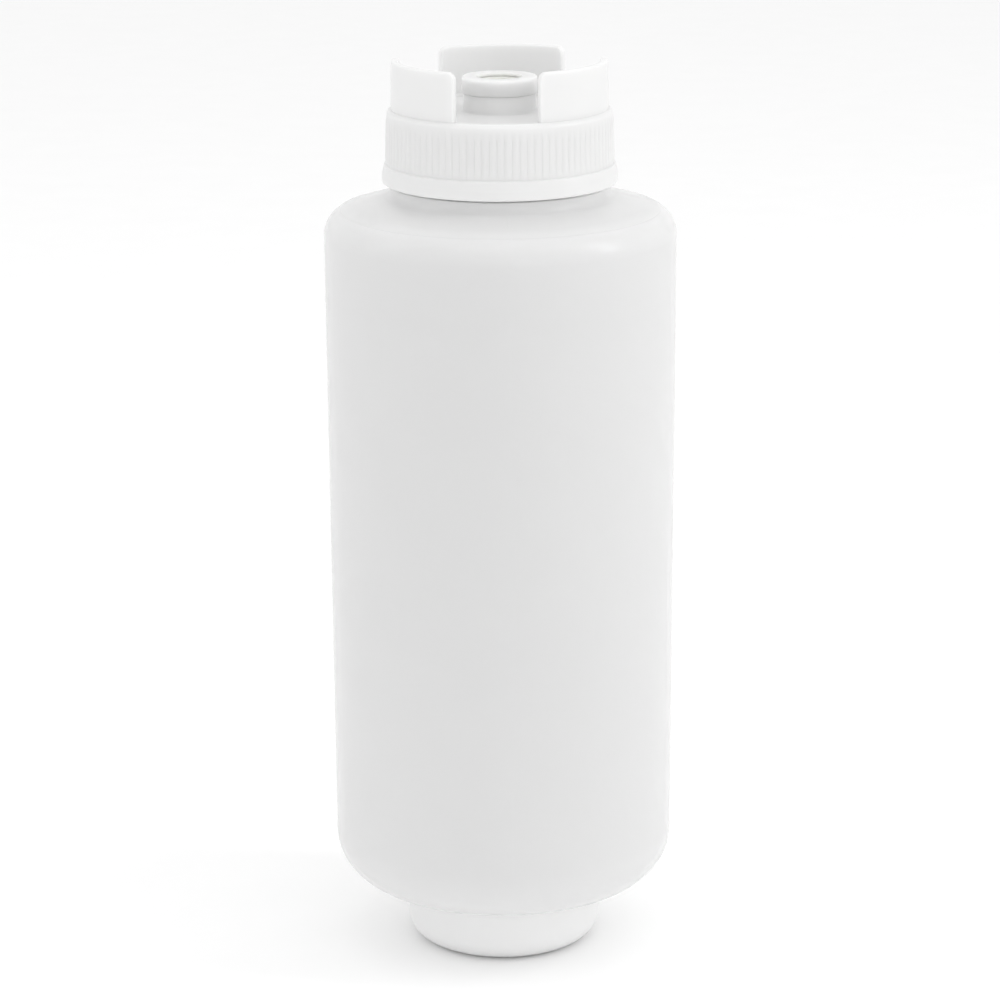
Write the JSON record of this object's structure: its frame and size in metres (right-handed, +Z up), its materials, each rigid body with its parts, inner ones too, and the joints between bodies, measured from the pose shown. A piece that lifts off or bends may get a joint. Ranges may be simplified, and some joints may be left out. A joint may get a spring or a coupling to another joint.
{
  "type": "wash bottle",
  "caption": "Two-ended translucent squeeze bottle: ribbed screw cap with three legs and a slit valve on top, smooth screw refill cap below.",
  "frame": {"origin": "middle of the refill cap's flat base, on the bottle's axis, at the bottom of the standing bottle", "axes": "+Z up along the bottle's axis, towards the dispensing cap; -Y is the front, through one of the three openings between the cap's legs"},
  "size_m": [0.0874, 0.0874, 0.2283],
  "materials": {
    "bottle": "translucent natural polyethylene, satin",
    "cap": "natural white polypropylene, satin",
    "ring": "natural white polypropylene, satin",
    "refill_cap": "natural white polyethylene, smooth satin",
    "silicone": "clear silicone rubber, soft sheen",
    "seal": "white foamed sealing material, matt"
  },
  "bodies": {
    "bottle": {"bottle": "bottle"},
    "upper_seal": {"dispensing_cap_gasket": "seal"},
    "dispensing_closure": {"dispensing_cap": "cap"},
    "retaining_ring": {"valve_retaining_ring": "ring"},
    "slit_valve": {"valve": "silicone"},
    "lower_seal": {"refill_cap_liner": "seal"},
    "refill_closure": {"refill_cap": "refill_cap"}
  },
  "joints": [
    {"name": "dispensing_cap_lift", "type": "slide", "parent": "bottle", "child": "upper_seal", "axis": [0, 0, 1], "range_m": [0, 0.01482]},
    {"name": "dispensing_cap_turn", "type": "hinge", "parent": "upper_seal", "child": "dispensing_closure", "pos_m": [0, 0, 0.205], "axis": [0, 0, 1], "range_deg": [0, 1260]},
    {"name": "retaining_ring_pull", "type": "slide", "parent": "dispensing_closure", "child": "retaining_ring", "axis": [0, 0, 1], "range_m": [0, 0.012]},
    {"name": "valve_lift", "type": "slide", "parent": "dispensing_closure", "child": "slit_valve", "axis": [0, 0, 1], "range_m": [0, 0.006]},
    {"name": "refill_cap_lower", "type": "slide", "parent": "bottle", "child": "lower_seal", "axis": [0, 0, -1], "range_m": [0, 0.01032]},
    {"name": "refill_cap_turn", "type": "hinge", "parent": "lower_seal", "child": "refill_closure", "pos_m": [0, 0, 0.007], "axis": [0, 0, -1], "range_deg": [0, 1170]}
  ],
  "couplings": [
    {"joint": "dispensing_cap_lift", "follows": "dispensing_cap_turn", "m_per_rad": 0.00067376},
    {"joint": "valve_lift", "follows": "retaining_ring_pull", "ratio": 0.5},
    {"joint": "refill_cap_lower", "follows": "refill_cap_turn", "m_per_rad": 0.00050532}
  ]
}
